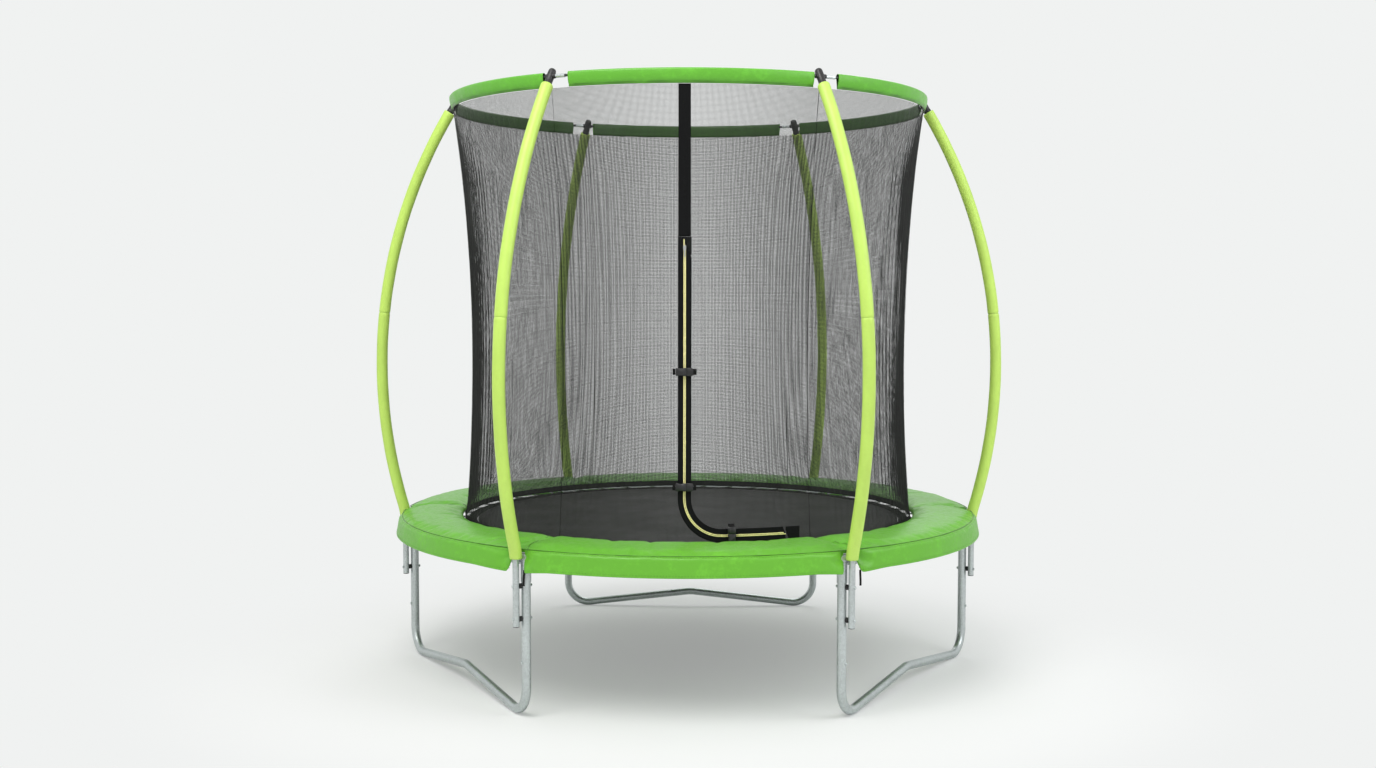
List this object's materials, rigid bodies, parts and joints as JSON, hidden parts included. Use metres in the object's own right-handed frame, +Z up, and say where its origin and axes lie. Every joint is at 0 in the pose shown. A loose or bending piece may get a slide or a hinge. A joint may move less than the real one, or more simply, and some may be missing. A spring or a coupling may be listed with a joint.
{
  "type": "trampoline",
  "caption": "Round outdoor trampoline with a spring-hung mat, padded rim and a zipped enclosure net on bowed poles.",
  "frame": {"origin": "centre of the footprint on the ground", "axes": "+Z up, -Y towards the zipped door, +X to the right of someone who faces the door from outside"},
  "size_m": [2.7, 2.4768, 2.409],
  "materials": {
    "galvanised_steel": "satin",
    "zinc_fasteners": "satin",
    "black_plastic": "matte",
    "lime_foam": "matte",
    "ring_rod": "satin",
    "green_fabric": "matte",
    "green_vinyl": "satin",
    "black_net": "matte",
    "black_webbing": "matte",
    "zip_tape": "matte",
    "zip_metal": "satin",
    "mat_cloth": "matte"
  },
  "bodies": {
    "frame": {"frame_rail_1": "galvanised_steel", "frame_rail_2": "galvanised_steel", "frame_rail_3": "galvanised_steel", "frame_rail_4": "galvanised_steel", "frame_rail_5": "galvanised_steel", "frame_rail_6": "galvanised_steel", "t_sockets": "galvanised_steel", "leg_base_left": "galvanised_steel", "leg_base_right": "galvanised_steel", "leg_base_rear": "galvanised_steel", "leg_uprights_left": "galvanised_steel", "leg_uprights_right": "galvanised_steel", "leg_uprights_rear": "galvanised_steel", "pole_lower_1": "galvanised_steel", "pole_lower_2": "galvanised_steel", "pole_lower_3": "galvanised_steel", "pole_lower_4": "galvanised_steel", "pole_lower_5": "galvanised_steel", "pole_lower_6": "galvanised_steel", "pole_upper_1": "galvanised_steel", "pole_upper_2": "galvanised_steel", "pole_upper_3": "galvanised_steel", "pole_upper_4": "galvanised_steel", "pole_upper_5": "galvanised_steel", "pole_upper_6": "galvanised_steel", "leg_screws": "zinc_fasteners", "pole_bolts": "zinc_fasteners", "springs": "zinc_fasteners", "ring_ferrules": "zinc_fasteners", "pole_caps": "black_plastic", "bolt_spacers": "black_plastic", "buckle_sockets": "black_plastic", "net_lacing": "black_plastic", "foam_sleeves_lower": "lime_foam", "foam_sleeves_upper": "lime_foam", "ring_rods": "ring_rod", "ring_sleeves": "green_fabric", "safety_pad": "green_vinyl", "net_wall_1": "black_net", "net_wall_2": "black_net", "net_wall_3": "black_net", "net_wall_4": "black_net", "net_wall_5": "black_net", "net_front": "black_net", "door_band": "black_webbing", "socket_straps": "black_webbing", "pad_ties": "black_webbing", "zip_tape": "zip_tape"},
    "mat": {"mat": "mat_cloth", "mat_edge": "black_webbing", "v_rings": "zinc_fasteners"},
    "door": {"door_flap": "black_net", "zip_tape_door": "zip_tape"},
    "zip_slider": {"zip_slider": "zip_metal"},
    "buckle_prong_1": {"buckle_prong_1": "black_plastic", "prong_strap_1": "black_webbing"},
    "buckle_prong_2": {"buckle_prong_2": "black_plastic", "prong_strap_2": "black_webbing"},
    "buckle_prong_3": {"buckle_prong_3": "black_plastic", "prong_strap_3": "black_webbing"}
  },
  "joints": [
    {"name": "mat_bounce", "type": "slide", "parent": "frame", "child": "mat", "axis": [0, 0, 1], "range_m": [-0.2, 0], "stiffness_N_per_m": 7000, "springref_m": 0.012, "deforming": ["springs"]},
    {"name": "door_open", "type": "hinge", "parent": "frame", "child": "door", "pos_m": [0, -0.94202, 1.78], "axis": [-0.3235, -0.0598, 0.9443], "range_deg": [0, 100]},
    {"name": "zip_slide", "type": "hinge", "parent": "door", "child": "zip_slider", "pos_m": [0, -8.927, 1.29], "axis": [1, 0, 0], "range_deg": [-6.51, 0]},
    {"name": "buckle_release_1", "type": "slide", "parent": "door", "child": "buckle_prong_1", "axis": [1, 0, 0], "range_m": [0, 0.025]},
    {"name": "buckle_release_2", "type": "slide", "parent": "door", "child": "buckle_prong_2", "axis": [1, 0, 0], "range_m": [0, 0.025]},
    {"name": "buckle_release_3", "type": "slide", "parent": "door", "child": "buckle_prong_3", "axis": [-0.0143, 0.0764, 0.997], "range_m": [0, 0.025]}
  ]
}
